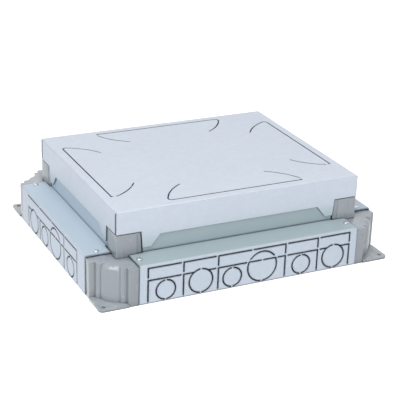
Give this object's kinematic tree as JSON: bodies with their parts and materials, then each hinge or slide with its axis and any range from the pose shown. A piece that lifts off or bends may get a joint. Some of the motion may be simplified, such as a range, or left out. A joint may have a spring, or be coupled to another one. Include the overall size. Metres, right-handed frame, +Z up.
{
  "type": "floor socket box",
  "caption": "Galvanised steel floor socket box with plastic corner blocks, break-out conduit entries, a height-adjustable frame and a lift-off protective cover.",
  "frame": {"origin": "on the floor, under the centre of the box", "axes": "+Z up; +X along the long side, to the right when the front wall is seen from outside; the front wall faces -Y"},
  "size_m": [0.326, 0.276, 0.0888],
  "materials": {
    "galvanised_steel": "hot-dip galvanised sheet, satin",
    "grey_plastic": "moulded, soft gloss",
    "zinc_plated_steel": "bright zinc plated"
  },
  "bodies": {
    "base": {"base_plate": "galvanised_steel", "side_wall_front": "galvanised_steel", "side_wall_back": "galvanised_steel", "side_wall_left": "galvanised_steel", "side_wall_right": "galvanised_steel", "corner_block_front_left": "grey_plastic", "corner_block_front_right": "grey_plastic", "corner_block_rear_left": "grey_plastic", "corner_block_rear_right": "grey_plastic", "ledge_screws": "zinc_plated_steel", "block_screws": "zinc_plated_steel", "earth_stud": "zinc_plated_steel", "earth_washer": "zinc_plated_steel", "earth_nut": "zinc_plated_steel"},
    "levelling_frame": {"frame_ring": "galvanised_steel", "corner_post_front_left": "grey_plastic", "corner_post_front_right": "grey_plastic", "corner_post_rear_left": "grey_plastic", "corner_post_rear_right": "grey_plastic", "nut_bracket_front_left": "galvanised_steel", "nut_bracket_front_right": "galvanised_steel", "nut_bracket_rear_left": "galvanised_steel", "nut_bracket_rear_right": "galvanised_steel", "levelling_nuts": "zinc_plated_steel", "frame_corner_screws": "zinc_plated_steel"},
    "cover": {"protective_cover": "galvanised_steel"},
    "screw_front_left": {"levelling_screw_front_left": "zinc_plated_steel"},
    "screw_front_right": {"levelling_screw_front_right": "zinc_plated_steel"},
    "screw_rear_left": {"levelling_screw_rear_left": "zinc_plated_steel"},
    "screw_rear_right": {"levelling_screw_rear_right": "zinc_plated_steel"}
  },
  "joints": [
    {"name": "frame_rise", "type": "slide", "parent": "base", "child": "levelling_frame", "axis": [0, 0, 1], "range_m": [0, 0.025]},
    {"name": "cover_lift", "type": "slide", "parent": "levelling_frame", "child": "cover", "axis": [0, 0, 1], "range_m": [0, 0.06]},
    {"name": "levelling_screw_turn_front_left", "type": "hinge", "parent": "base", "child": "screw_front_left", "pos_m": [-0.122, -0.097, 0.05], "axis": [0, 0, 1], "range_deg": [0, 9000.5]},
    {"name": "levelling_screw_turn_front_right", "type": "hinge", "parent": "base", "child": "screw_front_right", "pos_m": [0.122, -0.097, 0.05], "axis": [0, 0, 1], "range_deg": [0, 9000.5]},
    {"name": "levelling_screw_turn_rear_left", "type": "hinge", "parent": "base", "child": "screw_rear_left", "pos_m": [-0.122, 0.097, 0.05], "axis": [0, 0, 1], "range_deg": [0, 9000.5]},
    {"name": "levelling_screw_turn_rear_right", "type": "hinge", "parent": "base", "child": "screw_rear_right", "pos_m": [0.122, 0.097, 0.05], "axis": [0, 0, 1], "range_deg": [0, 9000.5]}
  ],
  "couplings": [
    {"joint": "levelling_screw_turn_front_left", "follows": "frame_rise", "rad_per_m": 6283.2},
    {"joint": "levelling_screw_turn_front_right", "follows": "frame_rise", "rad_per_m": 6283.2},
    {"joint": "levelling_screw_turn_rear_left", "follows": "frame_rise", "rad_per_m": 6283.2},
    {"joint": "levelling_screw_turn_rear_right", "follows": "frame_rise", "rad_per_m": 6283.2}
  ]
}
